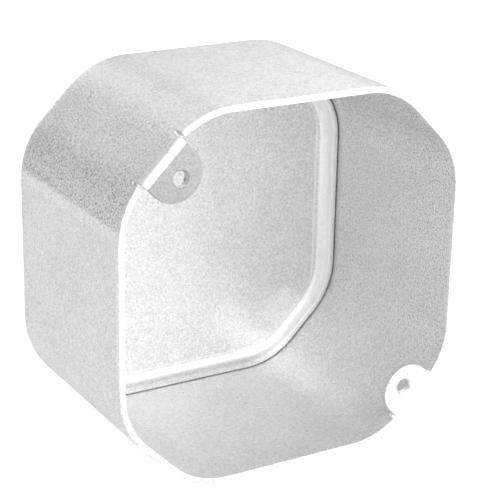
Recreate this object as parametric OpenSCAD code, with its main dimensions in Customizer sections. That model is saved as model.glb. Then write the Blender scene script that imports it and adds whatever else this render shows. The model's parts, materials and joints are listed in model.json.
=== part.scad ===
// Octagonal steel electrical junction box, plain sided.
//
// The box stands on its lower flat with its opening facing -Y. The origin is
// the centre of the outer back face, +Y points out of the back, +X is to the
// right when looking into the opening, and +Z is up.
//
// It is built from three kinds of piece:
//   wall_shell    octagonal wall with a rounded back edge, an inward back
//                 flange and two screw ears folded in from the rim
//   back_pan      pressed closing plate with a turned-up edge, seated in the
//                 shell against the back flange
//   weld_nuggets  spot welds that join the pan to the flange

/* [Box] */
// Outer width across the four upright and level flats
width_flats = 92; // [88:0.5:94]
// Outer width across the four diagonal flats
width_diagonals = 102.6; // [101:0.1:104]
// Outer plan radius where two flats meet
corner_radius = 21.5; // [19:0.5:23]
// Overall depth from the rim to the back face
depth = 57.15; // [38.1:0.05:64]
// Outer radius of the rounded edge round the back
back_edge_radius = 5.2; // [4.6:0.1:6]

/* [Sheet] */
// Sheet thickness of the shell
shell_sheet = 1.6; // [1.4:0.05:1.8]
// Sheet thickness of the back pan
pan_sheet = 1.6; // [1.4:0.05:1.8]
// Reach of the inward flange round the back, from the outer face of the wall
flange_reach = 15; // [14:0.5:17]

/* [Back pan] */
// Clearance between the pan's edge and the wall all round
pan_gap = 0.15; // [0.05:0.05:0.3]
// Inner radius of the pan's turned-up edge
pan_edge_radius = 2.8; // [2:0.1:3]

/* [Screw ears] */
// Distance between the two cover screw holes
screw_spacing = 88.9; // [87:0.1:90]
// Width of a screw ear
ear_width = 13.4; // [12:0.1:14]
// Distance from the middle of a screw hole to the tip of its ear
ear_tip = 4.9; // [4:0.1:6]
// Height of the ear's face above the rim
ear_rise = 1; // [0:0.1:1.5]
// Outer radius of the fold between the wall and an ear
ear_fold_radius = 2.3; // [2:0.1:2.8]
// Width of the relief slot on each side of an ear
slot_width = 0.9; // [0.6:0.1:2]
// Depth of the relief slots below the rim
slot_depth = 2.6; // [2:0.1:3.5]
// Diameter of the tapped screw hole, measured inside its thread
hole_d = 3.454; // [3.3:0.001:3.6]
// Diameter of the screw hole's countersunk mouth
hole_mouth_d = 4.2; // [4:0.05:4.6]

/* [Spot welds] */
// Diameter of a weld nugget
nugget_d = 4.4; // [3:0.1:5]
// Height of a weld nugget, shared equally by the two sheets
nugget_h = 1.6; // [1:0.1:2]
// Distance of the welds from the outer face of the wall
weld_inset = 10.5; // [9.5:0.1:11]
// Diameter of the electrode mark on the outside of the back flange
mark_d = 5.6; // [5:0.1:6.5]
// Depth of the electrode mark
mark_depth = 0.15; // [0.05:0.05:0.25]

/* [Hidden] */
$fn = 128;
// Overshoot of cutting bodies past the faces they cut
cut = 1;

half_width = width_flats / 2;
// Distance from the box's axis to the line of corner centres on a diagonal
diagonal_mid = width_diagonals / 2 - corner_radius;
// Centre of the plan corner between the +X flat and the next diagonal
corner_x = half_width - corner_radius;
corner_y = diagonal_mid * sqrt(2) - corner_x;

// Screw hole and ear tip, as on_diagonal() measures x
hole_x = screw_spacing / 2 - diagonal_mid;
tip_x = hole_x - ear_tip;
// Height of the ear's face above the back
ear_top = depth + ear_rise;
// Height of the foot of the relief slots above the back
slot_foot = depth - slot_depth;
// How far the ear's cutouts reach inwards from the outer face of the wall
room_reach = 3 * shell_sheet;

// The box is drawn lying on its back, opening up (+Z), then stood up so that
// the opening faces -Y. All comments on height below are for the lying box.
module stand() rotate([90, 0, 0]) children();

// Stands a child on each of the eight plan corner centres
module at_corners() {
    for (a = [0 : 90 : 270], p = [[corner_x, corner_y], [corner_y, corner_x]])
        rotate(a) translate([p.x, p.y, 0]) children();
}

// Solid body of the box's plan, "inset" inside the outer face of the wall,
// with a rounded edge round its foot
module body(inset, height, edge_radius) {
    radius = corner_radius - inset;
    hull() at_corners() rotate_extrude($fn = 64) {
        square([radius - edge_radius, height]);
        translate([0, edge_radius]) square([radius, height - edge_radius]);
        intersection() {
            translate([radius - edge_radius, edge_radius]) circle(edge_radius, $fn = 40);
            translate([radius - edge_radius, 0]) square(edge_radius);
        }
    }
}

// Places its children on a diagonal flat: x runs outwards, with the wall's
// outer face at x = corner_radius, and y runs along the flat from its middle.
// The first diagonal, angle = 0, is the upper right one.
module on_diagonal(angle) {
    rotate(angle + 45) translate([diagonal_mid, 0, 0]) children();
}

// Both ears stand on the diagonal that falls from the upper left to the
// lower right
module at_ears() {
    for (a = [90, 270]) on_diagonal(a) children();
}

// Welds stand on every flat except the two that carry ears
module at_welds() {
    for (a = [0 : 90 : 270])
        rotate(a) translate([half_width - weld_inset, 0, 0]) children();
    for (a = [0, 180])
        on_diagonal(a) translate([corner_radius - weld_inset, 0, 0]) children();
}

// Section of an ear's fold: a quarter ring centred on the origin
module fold_section() {
    intersection() {
        difference() {
            circle(ear_fold_radius);
            circle(ear_fold_radius - shell_sheet);
        }
        square(ear_fold_radius);
    }
}

// Section of an ear along its middle: x as on_diagonal() places it, y the
// height above the back
module ear_section() {
    fold_x = corner_radius - ear_fold_radius;
    // Face, fold, then the stretch of wall below the fold
    translate([tip_x, ear_top - shell_sheet])
        square([fold_x - tip_x, shell_sheet]);
    translate([fold_x, ear_top - ear_fold_radius]) fold_section();
    translate([corner_radius - shell_sheet, slot_foot - cut])
        square([shell_sheet, slot_depth + cut + ear_rise - ear_fold_radius]);
}

// Plan of an ear: straight sides and a full round tip
module ear_plan() {
    tip_radius = ear_width / 2;
    tip_centre = tip_x + tip_radius;
    translate([tip_centre, 0]) circle(tip_radius);
    translate([tip_centre, -tip_radius])
        square([corner_radius + cut - tip_centre, ear_width]);
}

// One folded ear, without its hole
module ear() {
    intersection() {
        translate([0, ear_width / 2 + cut, 0]) rotate([90, 0, 0])
            linear_extrude(ear_width + 2 * cut) ear_section();
        translate([0, 0, slot_foot - 2 * cut])
            linear_extrude(slot_depth + 2 * cut + ear_rise + cut) ear_plan();
    }
}

// Room cut in the wall for one ear: two relief slots, and the stretch of rim
// between them that is folded in
module ear_room() {
    inner_x = corner_radius - room_reach;
    for (y = [-ear_width / 2 - slot_width, ear_width / 2])
        translate([inner_x, y, slot_foot])
            cube([room_reach + cut, slot_width, slot_depth + cut]);
    translate([inner_x, -ear_width / 2 - cut / 2, ear_top - ear_fold_radius])
        cube([room_reach + cut, ear_width + cut, ear_fold_radius + cut]);
}

// Screw hole through an ear, with its 45 degree countersunk mouth
module ear_hole() {
    sink = (hole_mouth_d - hole_d) / 2;
    translate([hole_x, 0, ear_top - shell_sheet - cut])
        cylinder(h = shell_sheet + 2 * cut, d = hole_d);
    translate([hole_x, 0, ear_top - sink])
        cylinder(h = sink + cut, d1 = hole_d, d2 = hole_mouth_d + 2 * cut);
}

// All the nuggets, centred on the joint between flange and pan
module nuggets() {
    at_welds() translate([0, 0, shell_sheet - nugget_h / 2])
        cylinder(h = nugget_h, d = nugget_d);
}

// Wall and back flange, without the ears
module wall() {
    difference() {
        body(0, depth, back_edge_radius);
        translate([0, 0, shell_sheet])
            body(shell_sheet, depth, back_edge_radius - shell_sheet);
        // Opening inside the back flange
        translate([0, 0, -cut]) linear_extrude(shell_sheet + 2 * cut)
            hull() at_corners() circle(corner_radius - flange_reach, $fn = 32);
        at_ears() ear_room();
    }
}

module wall_shell() {
    color("gainsboro") stand() difference() {
        union() {
            wall();
            at_ears() ear();
        }
        at_ears() ear_hole();
        nuggets();
        // Electrode marks
        at_welds() translate([0, 0, -cut])
            cylinder(h = cut + mark_depth, d = mark_d);
    }
}

module back_pan() {
    inset = shell_sheet + pan_gap;
    // The turned-up edge is all curve, so the pan is as high as its outer radius
    outer_radius = pan_edge_radius + pan_sheet;
    color("silver") stand() difference() {
        translate([0, 0, shell_sheet]) body(inset, outer_radius, outer_radius);
        translate([0, 0, shell_sheet + pan_sheet])
            body(inset + pan_sheet, outer_radius, pan_edge_radius);
        nuggets();
    }
}

module weld_nuggets() {
    color("darkgray") stand() nuggets();
}

wall_shell();
back_pan();
weld_nuggets();
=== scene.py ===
"""An eight-sided sheet-steel box with two threaded ears, galvanized, on a light table.

Its back lies in the plane y = 0 and it opens towards -y. The plan is drawn in x (right) and
z (up), and heights h run from the back towards the open rim. Flats are numbered 0 to 7, every
45 degrees from +x towards +z. The ears stand on flats 3 (upper left) and 7 (lower right).
"""
import json
import math
from collections import namedtuple

import bmesh
import bpy
import numpy as np
from mathutils import Matrix, Vector


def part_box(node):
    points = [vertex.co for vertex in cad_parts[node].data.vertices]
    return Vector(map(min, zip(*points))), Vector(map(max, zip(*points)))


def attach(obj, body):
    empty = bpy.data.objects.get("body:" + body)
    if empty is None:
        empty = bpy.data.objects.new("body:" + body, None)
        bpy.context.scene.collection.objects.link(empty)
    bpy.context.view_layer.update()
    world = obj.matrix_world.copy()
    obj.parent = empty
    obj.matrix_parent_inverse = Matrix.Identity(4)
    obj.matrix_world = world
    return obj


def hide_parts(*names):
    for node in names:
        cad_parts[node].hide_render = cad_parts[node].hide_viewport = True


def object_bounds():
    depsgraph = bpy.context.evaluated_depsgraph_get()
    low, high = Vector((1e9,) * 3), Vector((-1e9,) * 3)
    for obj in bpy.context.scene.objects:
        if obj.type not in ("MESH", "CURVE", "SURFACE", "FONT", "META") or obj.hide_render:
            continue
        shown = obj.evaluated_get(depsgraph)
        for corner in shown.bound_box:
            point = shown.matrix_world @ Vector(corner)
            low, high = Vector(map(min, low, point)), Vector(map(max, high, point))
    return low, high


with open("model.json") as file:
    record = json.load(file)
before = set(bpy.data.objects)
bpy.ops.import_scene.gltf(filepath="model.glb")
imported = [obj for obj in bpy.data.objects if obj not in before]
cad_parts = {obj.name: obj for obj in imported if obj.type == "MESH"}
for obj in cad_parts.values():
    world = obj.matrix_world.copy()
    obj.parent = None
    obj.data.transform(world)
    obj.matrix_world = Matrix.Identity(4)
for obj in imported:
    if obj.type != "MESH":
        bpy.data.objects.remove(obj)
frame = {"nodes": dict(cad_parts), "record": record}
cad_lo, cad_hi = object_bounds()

MM = 0.001

# ---------------------------------------------------------------- sizes, mm
shell_lo, shell_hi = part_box("wall_shell")
shell_points = np.array([v.co for v in frame["nodes"]["wall_shell"].data.vertices]) / MM
screws = next(m for m in frame["record"]["mounts"] if m["name"] == "cover_screws")["dims"]

AXIS_HALF = shell_hi.x / MM             # middle to the upright and level flats
DIAG_HALF = float(((shell_points[:, 0] + shell_points[:, 2]) / 2 ** 0.5).max())
EAR_TOP = -shell_lo.y / MM              # height of the ears' faces
EAR_RISE = 1.0                          # ears above the rim
RIM = EAR_TOP - EAR_RISE
SHEET = 1.6                             # thickness
CORNER_R = 21.5                         # plan arcs between flats
BEND_R = 5.2                            # outer bend from wall to back
FLANGE = 15.0                           # reach of the back flange from the outer face

EARS = UPPER_EAR, LOWER_EAR = 3, 7
EAR_W = 13.4
EAR_TIP = 4.9                           # ear beyond the middle of its hole
FOLD_R = 2.3                            # outer radius of the ear's fold
FOLD_STEPS, INNER_FOLD_STEPS = 10, 5
SLOT_W, SLOT_DEPTH = 0.9, 2.6           # slots beside the ears
SLOT_FLOOR = RIM - SLOT_DEPTH

HOLE_OUT = screws["pcd_mm"] / 2         # middle of the box to an ear's hole
BORE_R = screws["hole_r_mm"]
MOUTH_R = 2.1                           # mouth of the countersink
MOUTH_EDGE = 0.14                       # narrow ring round the mouth
MOUTH_PULL = 0.45                       # how far a ring leans towards the outline
THREAD_PITCH, THREAD_DEPTH, THREAD_RINGS = 0.794, 0.30, 20
SHEAR_ROUND = 0.20                      # dulling of the sheared edges

WELD_IN = 10.5                          # weld marks from the outer face
MARK_R, MARK_DEPTH = 2.8, 0.15

PAN_GAP = 1.75                          # shell's outer face to the pan's
PAN_INNER_R = 2.8
PAN_OUTER_R = PAN_INNER_R + SHEET
PAN_BEND_OFF = PAN_GAP + PAN_OUTER_R    # centre of the pan's bend
LIP = SHEET + PAN_OUTER_R               # height of the lip, and of the bend's centre
PAN_FLOOR = SHEET + SHEET
LIP_OUTER_ROUND, LIP_INNER_ROUND = 0.25, 0.22

# centre of the corner arc that follows flat 0, and the half lengths of the flats
CORNER_X = AXIS_HALF - CORNER_R
CORNER_Z = (DIAG_HALF - CORNER_R) * 2 ** 0.5 - CORNER_X
AXIS_FLAT = CORNER_Z
DIAG_FLAT = (CORNER_X - CORNER_Z) / 2 ** 0.5


# ---------------------------------------------------------------- helpers
def place(x, z, h):
    """A point of the plan at height h, in metres."""
    return Vector((x * MM, -h * MM, z * MM))


def smooth(x):
    """An eased step from 0 at x = 0 to 1 at x = 1."""
    x = min(1.0, max(0.0, x))
    return x * x * (3 - 2 * x)


def peak(x, centre, width):
    """1 at the centre, falling straight to 0 at width on either side."""
    return max(0.0, 1 - abs(x - centre) / width)


def lookup(x, table):
    return float(np.interp(x, *zip(*table)))


def heading_of(normal):
    """Degrees from +x towards +z, from -180 to 180."""
    return math.degrees(math.atan2(normal[1], normal[0]))


def axes(flat):
    """Unit vectors of a flat in plan: outward, and along it."""
    angle = math.radians(45 * flat)
    return (math.cos(angle), math.sin(angle)), (-math.sin(angle), math.cos(angle))


def arc(off, h, radius, start, end, steps):
    """Section arc as (offset, height): 0 degrees points into the box, 90 towards the rim."""
    return [(off + radius * math.cos(math.radians(a)), h + radius * math.sin(math.radians(a)))
            for a in np.linspace(start, end, steps + 1)]


class Sheet:
    """A mesh being built, with the vertex values its material reads."""

    def __init__(self):
        self.mesh = bmesh.new()
        self.layers = {name: self.mesh.verts.layers.float.new(name)
                       for name in ("grime", "wear", "patina", "grit")}

    def paint(self, vert, **values):
        for name, value in values.items():
            vert[self.layers[name]] = value

    def vert(self, x, z, h, **values):
        vert = self.mesh.verts.new(place(x, z, h))
        self.paint(vert, **values)
        return vert

    def face(self, *verts):
        self.mesh.faces.new(verts)

    def strip(self, first, second):
        """Quads between two equally long lines of vertices."""
        for j in range(len(first) - 1):
            self.face(first[j], second[j], second[j + 1], first[j + 1])

    def orient(self):
        bmesh.ops.recalc_face_normals(self.mesh, faces=self.mesh.faces)
        self.mesh.normal_update()


# ---------------------------------------------------------------- plan
# flat: the flat a station belongs to, or -1; along: distance along that flat
Station = namedtuple("Station", "point normal flat along")


def flat_steps(flat, length):
    """Distances along a flat, finer in the middle of those without an ear."""
    if flat in EARS:
        return np.linspace(-length, length, 13)
    coarse = np.linspace(-length, length, 15 if flat % 2 == 0 else 5)
    return sorted(list(np.arange(-3.6, 3.61, 0.4)) + [c for c in coarse if abs(c) > 3.9])


def corner_angles(flat):
    """Degrees round the arc after a flat, with a station at each edge of an ear's slot."""
    edges = [math.degrees(math.asin((reach - DIAG_FLAT) / CORNER_R))
             for reach in (EAR_W / 2, EAR_W / 2 + SLOT_W)]
    if (flat + 1) % 8 in EARS:
        edges = [45 - edge for edge in edges]
    elif flat not in EARS:
        edges = []
    even = [45.0 * k / 18 for k in range(1, 18)]
    return sorted([a for a in even if all(abs(a - edge) > 0.8 for edge in edges)] + edges)


def plan():
    """Stations round the outer plan, each flat followed by the arc to the next."""
    stations = []
    for flat in range(8):
        out, along = axes(flat)
        half, length = (AXIS_HALF, AXIS_FLAT) if flat % 2 == 0 else (DIAG_HALF, DIAG_FLAT)
        for s in flat_steps(flat, length):
            point = (half * out[0] + s * along[0], half * out[1] + s * along[1])
            stations.append(Station(point, out, flat, float(s)))
        centre_x = half * out[0] - CORNER_R * out[0] + length * along[0]
        centre_z = half * out[1] - CORNER_R * out[1] + length * along[1]
        near = next((f for f in (flat, (flat + 1) % 8) if f in EARS), -1)
        for turn in corner_angles(flat):
            angle = math.radians(45 * flat) + math.radians(turn)
            normal = (math.cos(angle), math.sin(angle))
            point = (centre_x + CORNER_R * normal[0], centre_z + CORNER_R * normal[1])
            s = None
            if near in EARS:
                side = axes(near)[1]
                s = side[0] * point[0] + side[1] * point[1]
            stations.append(Station(point, normal, near, s))
    return stations


STATIONS = plan()
COUNT = len(STATIONS)


def kind(k):
    """What the rim does between station k and the next: wall, slot or ear."""
    here, there = STATIONS[k], STATIONS[(k + 1) % COUNT]
    if here.flat in EARS and there.flat == here.flat:
        middle = abs((here.along + there.along) / 2)
        if middle < EAR_W / 2:
            return "ear"
        if middle < EAR_W / 2 + SLOT_W:
            return "slot"
    return "wall"


KINDS = [kind(k) for k in range(COUNT)]
# weld marks on every flat without an ear
WELDS = [((half - WELD_IN) * math.cos(math.radians(45 * flat)),
          (half - WELD_IN) * math.sin(math.radians(45 * flat)))
         for half, flats in ((AXIS_HALF, (0, 2, 4, 6)), (DIAG_HALF, (1, 5))) for flat in flats]

# ---------------------------------------------------------------- wall shell
# painted light and shade on the outside, by facing: heading in degrees, amount
OUTER_PAINTED_LIGHT = [
    (118, 0), (135, -0.05), (148, -0.20), (158, -0.20), (164, -0.03),
    (168, 0.22), (171, 0.25), (172, -0.22), (178, -0.18), (180, 0.0),
]


def shell_grit_and_painted_light(heading, h, inside):
    """Grit (coarseness) of the zinc, and painted light and shade by heading and height."""
    turn = heading % 360
    if inside:
        # coarse on the right, more so towards the rim, and on the upper right, where painted shade
        # also darkens the wall
        right, upper_right, lower = peak(heading, 20, 65), peak(turn, 48, 34), peak(turn, 270, 40)
        grit = 1.3 * right * (0.45 + 0.75 * smooth((h - 30) / 22))
        return grit + 0.8 * upper_right - 0.35 * lower, 0.26 * upper_right
    if turn < 179:
        # a coarse patch on the upper left starts near the back and ends sharply at 171 degrees; it
        # also gets painted shade, and the table adds painted light and shade by heading
        away = smooth((h - 0.5) / 9)
        patch = smooth((turn - 118) / 36) * away * (1.0 if turn < 171 else 0.0)
        patina = 0.20 * patch * (1 - smooth((h - 8) / 18)) + lookup(turn, OUTER_PAINTED_LIGHT) * away
        return 1.9 * patch - 0.3 * peak(turn, 92, 30), patina
    return 0.0, 0.0


def shell_vert(sheet, station, off, h, on_back):
    (point_x, point_z), (out_x, out_z) = station.point, station.normal
    x, z = point_x - off * out_x, point_z - off * out_z
    heading = heading_of(station.normal)
    if on_back:                                  # each weld mark is a shallow round dent
        weld = min(math.hypot(x - weld_x, z - weld_z) for weld_x, weld_z in WELDS)
        h = MARK_DEPTH * (1 - smooth((weld - MARK_R + 0.45) / 0.5))
    grime = 0.0
    if off == SHEET and 5.0 < h < 6.5:           # painted shade in the seam above the pan's lip, and a fainter line of it just above, strongest on the right
        grime = 0.75
    elif off == SHEET and 6.5 < h < 6.7:
        grime = 0.5 * peak(heading, -5, 70)
    grit, patina = shell_grit_and_painted_light(heading, h, inside=off == SHEET and h > 6.0)
    if on_back:                                  # a darker ring round each mark
        patina = 0.55 * smooth(1 - abs(weld - MARK_R) / 0.9)
    return sheet.vert(x, z, h, grime=grime, grit=grit, patina=patina)


def shell_rows(sheet):
    """Everything below the slots: from the outer face round the back to the inner face."""
    outer = [(0, SLOT_FLOOR - drop) for drop in (0, 8, 18, 28, 38)] + [(0, 11.0)]
    outer += arc(BEND_R, BEND_R, BEND_R, 180, 270, 12)
    back = [(off, 0.0) for off in np.arange(BEND_R + 0.8, FLANGE - 0.4, 0.4)]
    inner = [(FLANGE, 0.0), (FLANGE, SHEET), (FLANGE - 5, SHEET)]
    inner += arc(BEND_R, BEND_R, BEND_R - SHEET, 270, 180, 10)
    inner += [(SHEET, h) for h in (5.7, 6.1, 6.6, 8.5, 14.0)]
    inner += [(SHEET, SLOT_FLOOR - drop) for drop in (30, 20, 10, 0)]
    parts = ((False, outer), (True, back), (False, inner))
    rows = [[shell_vert(sheet, station, off, h, on_back)
             for on_back, points in parts for off, h in points] for station in STATIONS]
    for here, there in zip(rows, rows[1:] + rows[:1]):
        sheet.strip(here, there)
    return rows


def shell_rim(sheet, rows):
    """The plain stretches up to the rim, and the slots' floors."""
    rim = {}
    for k, (point, normal, _, _) in enumerate(STATIONS):
        if "wall" in (KINDS[k], KINDS[k - 1]):
            outer = sheet.vert(point[0], point[1], RIM)
            inner = sheet.vert(point[0] - SHEET * normal[0], point[1] - SHEET * normal[1], RIM)
            rim[k] = (rows[k][0], outer, inner, rows[k][-1])
    for k in range(COUNT):
        after = (k + 1) % COUNT
        if KINDS[k] == "wall":
            a, b = rim[k], rim[after]
            sheet.face(b[0], a[0], a[1], b[1])
            sheet.face(b[1], a[1], a[2], b[2])
            sheet.face(b[2], a[2], a[3], b[3])
            if KINDS[k - 1] != "wall":
                sheet.face(a[0], a[3], a[2], a[1])
            if KINDS[after] != "wall":
                sheet.face(*b)
        elif KINDS[k] == "slot":
            a, b = rows[k], rows[after]
            sheet.face(b[0], a[0], a[-1], b[-1])


def fold_paint(step, ear):
    """Paint of the fold's outer face: rough with a painted highlight below, a brighter painted
    highlight above, and on the lower ear a line of painted shade at the ear's face.
    """
    if step == 0:
        return dict(grit=1.2)
    if step <= FOLD_STEPS // 2:
        return dict(grit=1.2, wear=0.55, patina=-0.45)
    if step < FOLD_STEPS:
        return dict(wear=1.0)
    return dict(grime=0.22 if ear == LOWER_EAR else 0.0)


def ear_outline(first_along, last_along):
    """Free outline of the ear's face as (distance out, along), from fold round tip to fold."""
    fold_out = DIAG_HALF - FOLD_R
    tip_out = HOLE_OUT - EAR_TIP + EAR_W / 2     # centre of the round tip
    side = [fold_out + (tip_out - fold_out) * part for part in (0.33, 0.66)]
    tip = [(tip_out - EAR_W / 2 * math.sin(x), -EAR_W / 2 * math.cos(x))
           for x in np.linspace(0, math.pi, 41)]
    return [(r, first_along) for r in side] + tip + [(r, last_along) for r in reversed(side)]


def hole_ring(sheet, centre, radius, h, loop, thread=0.0, pull=0.0, **paint):
    """A ring round the hole with one point facing each point of the loop."""
    ring = []
    for vert in loop:
        x, z = vert.co.x / MM - centre[0], vert.co.z / MM - centre[1]
        angle = math.atan2(z, x)
        phase = (h / THREAD_PITCH - angle / (2 * math.pi)) % 1.0
        r = radius + thread * (1 - abs(2 * phase - 1)) ** 0.8
        r += pull * (math.hypot(x, z) - radius)
        ring.append(sheet.vert(centre[0] + r * math.cos(angle), centre[1] + r * math.sin(angle),
                               h, **paint))
    return ring


def build_hole(sheet, ear, top_loop, under_loop):
    """Both faces of the ear and the threaded hole through it; returns the thread's vertices."""
    out = axes(ear)[0]
    centre = HOLE_OUT * out[0], HOLE_OUT * out[1]
    # the inner mouth ring and the thread carry painted shade for the shaded hole, less on the
    # lower ear's thread
    rings = [
        hole_ring(sheet, centre, MOUTH_R, EAR_TOP, top_loop, pull=MOUTH_PULL),
        hole_ring(sheet, centre, MOUTH_R + MOUTH_EDGE, EAR_TOP, top_loop),
        hole_ring(sheet, centre, MOUTH_R, EAR_TOP, top_loop, grime=0.8),
    ]
    if ear == UPPER_EAR:                         # this ear's face gets painted shade, darker than the other ear's
        for loop in [top_loop] + rings:
            for vert in loop:
                sheet.paint(vert, patina=1.0)
    countersink = MOUTH_R - BORE_R
    last = THREAD_RINGS - 1
    heights = np.linspace(EAR_TOP - countersink, EAR_TOP - SHEET, THREAD_RINGS)
    threads = [
        hole_ring(sheet, centre, BORE_R, float(h), top_loop,
                  thread=THREAD_DEPTH * min(1.0, (k + 0.3) / 2.0, (last - k + 0.3) / 2.0),
                  grime=0.28 if ear == LOWER_EAR else 0.85)
        for k, h in enumerate(heights)]
    under = hole_ring(sheet, centre, MOUTH_R, EAR_TOP - SHEET, under_loop, pull=MOUTH_PULL)
    loops = [top_loop] + rings + threads + [under, under_loop]
    for a, b in zip(loops, loops[1:]):
        sheet.strip(a + a[:1], b + b[:1])
    return [vert for ring in threads for vert in ring]


def build_ear(sheet, rows, ear):
    """A strip that runs up, folds in and ends in a flat face; returns the thread's vertices."""
    out, along = axes(ear)

    def vert(r, s, h, **paint):
        return sheet.vert(r * out[0] + s * along[0], r * out[1] + s * along[1], h, **paint)

    span = [k for k in range(COUNT) if KINDS[k] == "ear" and STATIONS[k].flat == ear]
    start = next(k for k in span if KINDS[k - 1] != "ear")
    outer = arc(FOLD_R, EAR_TOP - FOLD_R, FOLD_R, 180, 90, FOLD_STEPS)
    inner = arc(FOLD_R, EAR_TOP - FOLD_R, FOLD_R - SHEET, 90, 180, INNER_FOLD_STEPS)
    columns, places = [], []
    for j in range(len(span) + 1):
        k = (start + j) % COUNT
        x, z = STATIONS[k].point
        r, s = x * out[0] + z * out[1], x * along[0] + z * along[1]
        sink = DIAG_HALF - r                     # the wall falls away a little at the ear's sides
        column = [rows[k][0]]
        for m, (off, h) in enumerate(outer):
            fall = sink * (1 - m / FOLD_STEPS)
            column.append(vert(DIAG_HALF - fall - off, s, h, **fold_paint(m, ear)))
        for m, (off, h) in enumerate(inner):
            fall = sink * m / INNER_FOLD_STEPS
            column.append(vert(DIAG_HALF - fall - off, s, h))
        columns.append(column + [rows[k][-1]])
        places.append(s)

    top = 1 + FOLD_STEPS                         # index of the fold's last outer point
    under = top + 1                              # and of its first inner point
    for a, b in zip(columns, columns[1:]):       # the face is attached between the two
        sheet.strip(b[:under], a[:under])
        sheet.strip(b[under:], a[under:])
    sheet.face(*reversed(columns[0]))
    sheet.face(*columns[-1])

    outline = ear_outline(places[0], places[-1])
    free = len(outline) + 1                      # points from which the cut edge runs

    def face_loop(index, h):
        points = [vert(r, s, h) for r, s in outline]
        return [columns[0][index]] + points + [column[index] for column in columns[:0:-1]]

    top_loop = face_loop(top, EAR_TOP)
    under_loop = face_loop(under, EAR_TOP - SHEET)
    for j in range(free):
        sheet.face(top_loop[j], top_loop[j + 1], under_loop[j + 1], under_loop[j])
    # painted shade along the underside edge of the ear's face, as a shadow line under the ear
    for point in under_loop[:free]:
        sheet.paint(point, grime=0.35)
    return build_hole(sheet, ear, top_loop, under_loop)


def build_shell():
    sheet = Sheet()
    rows = shell_rows(sheet)
    shell_rim(sheet, rows)
    thread = {vert for ear in EARS for vert in build_ear(sheet, rows, ear)}
    sheet.orient()
    # dull every sheared edge by a little, but leave the thread
    sharp = [edge for edge in sheet.mesh.edges
             if len(edge.link_faces) == 2 and edge.calc_face_angle() > math.radians(50)
             and not any(vert in thread for vert in edge.verts)]
    bmesh.ops.bevel(sheet.mesh, geom=sharp, offset=SHEAR_ROUND * MM, segments=3, profile=0.5,
                    affect="EDGES", clamp_overlap=True)
    sheet.mesh.normal_update()
    return sheet.mesh


# ---------------------------------------------------------------- back pan
# painted highlight and shade round the bend: section angle in degrees, amount
BEND_PAINTED_LIGHT = [(187, -0.60), (195, -0.50), (210, -0.30), (228, 0.0), (242, 0.0),
               (255, -0.15), (270, -0.35)]
BOTTOM_PAINTED_LIGHT = [(187, 0.40), (205, 0.40), (228, 0.0), (242, 0.0), (270, -0.20)]


def pan_section():
    """Pan from under its floor, over the lip and back to the floor; and where the floor starts."""
    section = [(PAN_BEND_OFF + 6, SHEET), (PAN_BEND_OFF + 2, SHEET)]
    section += arc(PAN_BEND_OFF, LIP, PAN_OUTER_R, 270, 180, 12)[:-1]
    section += arc(PAN_GAP + LIP_OUTER_ROUND, LIP - LIP_OUTER_ROUND, LIP_OUTER_ROUND, 180, 90, 5)
    section += arc(PAN_GAP + SHEET - LIP_INNER_ROUND, LIP - LIP_INNER_ROUND, LIP_INNER_ROUND,
                   90, 0, 4)
    section += arc(PAN_BEND_OFF, LIP, PAN_INNER_R, 187, 270, 14)
    floor_start = len(section)
    section += [(PAN_BEND_OFF + reach, PAN_FLOOR) for reach in (0.5, 0.7, 6, 12)]
    return section, floor_start


def pan_paint(heading, off, h, floor_edge):
    """Painted shade on the lip's outer face, and a painted highlight band round the bend, with
    painted light and shade across it.
    """
    low_right = peak(heading, -45, 40)
    bottom = smooth(peak(heading, -90, 50))
    paint = dict(grit=-0.15)
    # painted shade at the top of the lip's outer face, in the seam against the wall
    if off < PAN_GAP + 0.12 and h > LIP - 1.2:
        paint["grime"] = 0.35
    if floor_edge:
        paint.update(wear=1 - low_right, patina=-0.45 * (1 - low_right))
    elif h > PAN_FLOOR + 0.02 and off > PAN_GAP + 0.4:
        angle = math.degrees(math.atan2(h - LIP, off - PAN_BEND_OFF)) % 360
        # the painted highlight band is narrower on the lower right
        bright = 1 - low_right * smooth((angle - 244) / 16)
        patina = (lookup(angle, BEND_PAINTED_LIGHT) * (1 - bottom)
                  + lookup(angle, BOTTOM_PAINTED_LIGHT) * bottom)
        paint.update(wear=bright * (1 - bottom * (1 - smooth((angle - 195) / 30))),
                     patina=bright * patina)
    return paint


def build_pan():
    sheet = Sheet()
    section, floor_start = pan_section()
    rows = []
    for point, normal, _, _ in STATIONS:
        heading = heading_of(normal)
        right = peak(heading, 0, 30)
        column = []
        for j, (off, h) in enumerate(section):
            if j in (floor_start, floor_start + 1):    # the band reaches further on the right
                off += 0.35 * right - 0.42 * (1 - right)
            paint = pan_paint(heading, off, h, floor_edge=j == floor_start)
            column.append(sheet.vert(point[0] - off * normal[0], point[1] - off * normal[1],
                                     h, **paint))
        rows.append(column)
    for here, there in zip(rows, rows[1:] + rows[:1]):
        sheet.strip(there, here)
    sheet.face(*[row[-1] for row in rows])
    sheet.face(*[row[0] for row in reversed(rows)])
    sheet.orient()
    return sheet.mesh


def make_object(name, mesh, material):
    data = bpy.data.meshes.new(name)
    mesh.to_mesh(data)
    mesh.free()
    ob = bpy.data.objects.new(name, data)
    bpy.context.scene.collection.objects.link(ob)
    data.polygons.foreach_set("use_smooth", [True] * len(data.polygons))
    data.set_sharp_from_angle(angle=math.radians(32))
    data.materials.append(material)
    weighted = ob.modifiers.new("weighted", "WEIGHTED_NORMAL")
    weighted.keep_sharp = True
    weighted.weight = 60
    return ob


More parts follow.
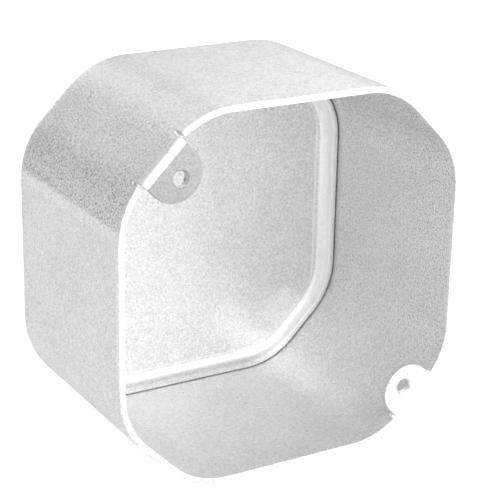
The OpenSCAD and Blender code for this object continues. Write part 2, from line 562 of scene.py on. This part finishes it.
# ---------------------------------------------------------------- materials
# share of the grain that each noise adds to the tone, from finest to widest
FINE_GAIN, MID_GAIN, BLOTCH_GAIN = 3.0, 1.1, 0.35
WIDE_GAIN = 0.10                        # the widest noise, whatever the grain
PIT_DARK = 0.6                          # darkening in pits
EDGE_BRIGHT = 0.12                      # brightening on convex edges
HIGHLIGHT_CALM, HIGHLIGHT_BRIGHT = 0.55, 0.10     # painted highlight: less grain, brighter
PATINA_AND_LIGHT_CALM, PATINA_AND_LIGHT_DARK = 0.55, 0.51   # patina round the weld marks, and painted shade and highlight: less grain, darker; negative values brighten
# painted shade: darkening in seams, holes and under edges
PAINTED_SHADE_DARK = 0.75
TONE_MIN, TONE_MAX = 0.05, 1.22
BUMP_DISTANCE = 0.00006


class Graph:
    """Short ways to add nodes to a material's tree."""

    def __init__(self, tree, seed):
        self.new, self.link, self.seed = tree.nodes.new, tree.links.new, seed
        self.coords = self.new("ShaderNodeTexCoord").outputs["Object"]

    def calc(self, operation, a, b, clamp=False):
        node = self.new("ShaderNodeMath")
        node.operation = operation
        node.use_clamp = clamp
        for socket, x in zip(node.inputs, (a, b)):
            if isinstance(x, (int, float)):
                socket.default_value = x
            else:
                self.link(x, socket)
        return node.outputs[0]

    def scaled(self, x, gain):
        return self.calc("MULTIPLY", x, gain)

    def centred(self, x, gain):
        return self.scaled(self.calc("SUBTRACT", x, 0.5), gain)

    def less(self, x, amount):
        """1 - x * amount"""
        return self.calc("SUBTRACT", 1.0, self.scaled(x, amount))

    def noise(self, scale, detail, roughness, shift=0.0):
        node = self.new("ShaderNodeTexNoise")
        node.noise_dimensions = "3D"
        mapping = self.new("ShaderNodeMapping")
        mapping.inputs["Location"].default_value = (
            shift + self.seed, shift * 1.7 - self.seed, shift * 0.6 + self.seed)
        self.link(self.coords, mapping.inputs["Vector"])
        self.link(mapping.outputs["Vector"], node.inputs["Vector"])
        node.inputs["Scale"].default_value = scale
        node.inputs["Detail"].default_value = detail
        node.inputs["Roughness"].default_value = roughness
        return node.outputs["Fac"]

    def ramp(self, x, start, end):
        node = self.new("ShaderNodeMapRange")
        node.interpolation_type = "SMOOTHSTEP"
        node.inputs["From Min"].default_value = start
        node.inputs["From Max"].default_value = end
        self.link(x, node.inputs["Value"])
        return node.outputs["Result"]

    def attribute(self, name):
        node = self.new("ShaderNodeAttribute")
        node.attribute_name = name
        return node.outputs["Fac"]


def zinc(name, base, roughness, grain, pits, bump, metal, seed=0.0, top_painted_shade=0.0):
    """Galvanized sheet: fine grain, dark pits, soft blotches, bright worn edges, and painted shade
    and highlight.
    """
    mat = bpy.data.materials.new(name)
    mat.use_nodes = True
    mat.node_tree.nodes.clear()
    g = Graph(mat.node_tree, seed)
    geometry = g.new("ShaderNodeNewGeometry")
    output = g.new("ShaderNodeOutputMaterial")
    bsdf = g.new("ShaderNodeBsdfPrincipled")
    g.link(bsdf.outputs["BSDF"], output.inputs["Surface"])

    fine = g.noise(scale=2300, detail=2.0, roughness=0.65)
    mid = g.noise(scale=900, detail=3.0, roughness=0.6, shift=3.1)
    blotch = g.noise(scale=120, detail=3.0, roughness=0.5, shift=7.7)
    wide = g.noise(scale=28, detail=2.0, roughness=0.5, shift=1.3)
    pit = g.noise(scale=1500, detail=1.0, roughness=0.5, shift=5.2)

    # tone: how far the surface is brighter or darker than the base colour
    gain = g.calc("ADD", 1.0, g.attribute("grit"))
    tone = g.calc("MULTIPLY", g.centred(fine, FINE_GAIN * grain), gain)
    tone = g.calc("ADD", tone, g.centred(mid, MID_GAIN * grain))
    tone = g.calc("ADD", tone, g.centred(blotch, BLOTCH_GAIN * grain))
    tone = g.calc("ADD", tone, g.centred(wide, WIDE_GAIN))
    dark = g.scaled(g.ramp(pit, 0.66, 0.76), PIT_DARK * pits)
    edge = g.scaled(g.ramp(geometry.outputs["Pointiness"], 0.53, 0.62), EDGE_BRIGHT)
    tone = g.calc("SUBTRACT", g.calc("ADD", tone, edge), dark)
    wear, patina = g.attribute("wear"), g.attribute("patina")
    tone = g.calc("MULTIPLY", tone, g.less(wear, HIGHLIGHT_CALM))
    tone = g.calc("ADD", tone, g.scaled(wear, HIGHLIGHT_BRIGHT))
    tone = g.calc("MULTIPLY", tone, g.less(patina, PATINA_AND_LIGHT_CALM))
    tone = g.calc("SUBTRACT", tone, g.scaled(patina, PATINA_AND_LIGHT_DARK))
    if top_painted_shade:                                 # painted shade, darker towards the upper side of the box
        split = g.new("ShaderNodeSeparateXYZ")
        g.link(g.coords, split.inputs["Vector"])
        height = g.ramp(split.outputs["Z"], 0.012, 0.038)
        tone = g.calc("SUBTRACT", tone, g.scaled(height, top_painted_shade))
    # painted shade, broken up by the fine noise
    grime = g.calc("MULTIPLY", g.attribute("grime"), g.ramp(fine, 0.46, 0.60))
    level = g.calc("MULTIPLY", g.calc("ADD", 1.0, tone), g.less(grime, PAINTED_SHADE_DARK))
    level = g.calc("MAXIMUM", g.calc("MINIMUM", level, TONE_MAX), TONE_MIN)

    mix = g.new("ShaderNodeMix")
    mix.data_type = "RGBA"
    mix.blend_type = "MULTIPLY"
    mix.inputs["Factor"].default_value = 1.0
    mix.inputs["A"].default_value = (*base, 1)
    grey = g.new("ShaderNodeCombineColor")
    for channel in ("Red", "Green", "Blue"):
        g.link(level, grey.inputs[channel])
    g.link(grey.outputs["Color"], mix.inputs["B"])
    g.link(mix.outputs["Result"], bsdf.inputs["Base Color"])

    g.link(g.calc("ADD", roughness, g.centred(mid, 0.25), clamp=True), bsdf.inputs["Roughness"])
    bsdf.inputs["Metallic"].default_value = metal
    relief = g.new("ShaderNodeBump")
    relief.inputs["Strength"].default_value = bump
    relief.inputs["Distance"].default_value = BUMP_DISTANCE
    height = g.calc("ADD", g.scaled(fine, 0.6), g.scaled(mid, 0.8))
    height = g.calc("SUBTRACT", height, g.scaled(g.ramp(pit, 0.62, 0.72), 0.5))
    g.link(height, relief.inputs["Height"])
    g.link(relief.outputs["Normal"], bsdf.inputs["Normal"])
    return mat


shell_zinc = zinc("shell_zinc", base=(0.765, 0.765, 0.76), roughness=0.50, grain=0.42,
                  pits=0.30, bump=0.55, metal=0.7)
pan_zinc = zinc("pan_zinc", base=(0.785, 0.785, 0.78), roughness=0.48, grain=0.40,
                pits=0.26, bump=0.50, metal=0.7, seed=2.0, top_painted_shade=0.10)
weld_steel = zinc("weld_steel", base=(0.45, 0.45, 0.46), roughness=0.40, grain=0.30,
                  pits=0.20, bump=0.40, metal=0.95, seed=4.0)

shell = make_object("shell_sheet", build_shell(), shell_zinc)
pan = make_object("pan_sheet", build_pan(), pan_zinc)

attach(shell, "root")
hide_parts("wall_shell")
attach(pan, "root")
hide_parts("back_pan")
nuggets = frame["nodes"]["weld_nuggets"]
nuggets.data.materials.clear()
nuggets.data.materials.append(weld_steel)

# ---------------------------------------------------------------- stage, metres
FLOOR_HALF, FLOOR_CELLS = 3.0, 40
FLOOR_GLOW, FLOOR_LIFT = 0.207, 0.42    # glow as a light, and what the camera sees on top
ROOM_LIGHT, ROOM_SEEN = 0.179, 1.0      # the room as a light, and as the camera sees it
LIGHT_TARGET = Vector((0, -0.03, 0))
LIGHT_REACH, LIGHT_SIZE = 1.2, 0.5
# name, azimuth (0 in front, 90 to the right), elevation, watts
SOFTBOXES = [
    ("front_high", 0, 45, 6.74),
    ("back_right", 135, 45, 3.36),
    ("right_high", 45, 45, 3.03),
    ("right_low", 45, 12, 5.06),
    ("front_low", 0, 12, 2.45),
    ("back_high", 180, 45, 1.13),
    ("left_high", 315, 45, 1.00),
    ("back_low", 180, 12, 2.19),
    ("back_left", 225, 45, 0.85),
    ("left_low", 315, 12, 0.62),
    ("back_left_low", 225, 12, 0.49),
]
CAMERA_PLACE = (-0.192917, -0.357354, 0.140575)
CAMERA_AXES = (                         # right, up, back
    (0.86141068, -0.5075116, 0.02009037),
    (0.15920208, 0.30735615, 0.93818276),
    (-0.48231353, -0.80496222, 0.34555677),
)
CAMERA_SENSOR, CAMERA_LENS = 36.0, 118.984752    # mm


def glow_for_camera(tree, light, seen, strength):
    """Drive a strength with one value as a light and another as the camera sees it."""
    path = tree.nodes.new("ShaderNodeLightPath")
    glow = tree.nodes.new("ShaderNodeMapRange")
    glow.inputs["To Min"].default_value = light
    glow.inputs["To Max"].default_value = seen
    tree.links.new(path.outputs["Is Camera Ray"], glow.inputs["Value"])
    tree.links.new(glow.outputs["Result"], strength)


def build_floor():
    """A light table of white paper; its glow keeps hard shadows from showing."""
    data = bpy.data.meshes.new("floor")
    mesh = bmesh.new()
    ticks = [(i / FLOOR_CELLS * 2 - 1) * FLOOR_HALF for i in range(FLOOR_CELLS + 1)]
    grid = [[mesh.verts.new((x, y, cad_lo.z)) for y in ticks] for x in ticks]
    for i in range(FLOOR_CELLS):
        for j in range(FLOOR_CELLS):
            mesh.faces.new((grid[i][j], grid[i + 1][j], grid[i + 1][j + 1], grid[i][j + 1]))
    mesh.to_mesh(data)
    mesh.free()
    ob = bpy.data.objects.new("floor", data)
    bpy.context.scene.collection.objects.link(ob)
    mat = bpy.data.materials.new("paper")
    mat.use_nodes = True
    paper = mat.node_tree.nodes["Principled BSDF"].inputs
    paper["Base Color"].default_value = (0.93, 0.93, 0.93, 1)
    paper["Roughness"].default_value = 0.9
    paper["Specular IOR Level"].default_value = 0.1
    paper["Emission Color"].default_value = (1, 1, 1, 1)
    glow_for_camera(mat.node_tree, light=FLOOR_GLOW, seen=FLOOR_GLOW + FLOOR_LIFT,
                    strength=paper["Emission Strength"])
    data.materials.append(mat)


def add_softbox(name, azimuth, elevation, watts):
    a, e = math.radians(azimuth), math.radians(elevation)
    light = bpy.data.lights.new("softbox_" + name, "AREA")
    light.shape = "RECTANGLE"
    light.size = light.size_y = LIGHT_SIZE
    light.energy = watts
    ob = bpy.data.objects.new("softbox_" + name, light)
    spot = Vector((LIGHT_REACH * math.sin(a) * math.cos(e),
                   -LIGHT_REACH * math.cos(a) * math.cos(e),
                   LIGHT_REACH * math.sin(e)))
    ob.location = spot
    ob.rotation_mode = "QUATERNION"
    ob.rotation_quaternion = (LIGHT_TARGET - spot).to_track_quat("-Z", "Y")
    bpy.context.scene.collection.objects.link(ob)


def build_world():
    world = bpy.data.worlds.new("room")
    world.use_nodes = True
    bpy.context.scene.world = world
    background = world.node_tree.nodes["Background"].inputs
    background["Color"].default_value = (1, 1, 1, 1)
    glow_for_camera(world.node_tree, light=ROOM_LIGHT, seen=ROOM_SEEN,
                    strength=background["Strength"])


def build_camera():
    data = bpy.data.cameras.new("camera")
    camera = bpy.data.objects.new("camera", data)
    bpy.context.scene.collection.objects.link(camera)
    pose = Matrix(CAMERA_AXES).transposed().to_4x4()
    pose.translation = Vector(CAMERA_PLACE)
    camera.matrix_world = pose
    data.sensor_width = CAMERA_SENSOR
    data.lens = CAMERA_LENS
    data.clip_start, data.clip_end = 0.01, 20.0
    bpy.context.scene.camera = camera


build_floor()
for softbox in SOFTBOXES:
    add_softbox(*softbox)
build_world()
build_camera()

view = bpy.context.scene.view_settings
view.view_transform = "Standard"
view.look = "None"
view.exposure = 0.0
view.gamma = 1.0
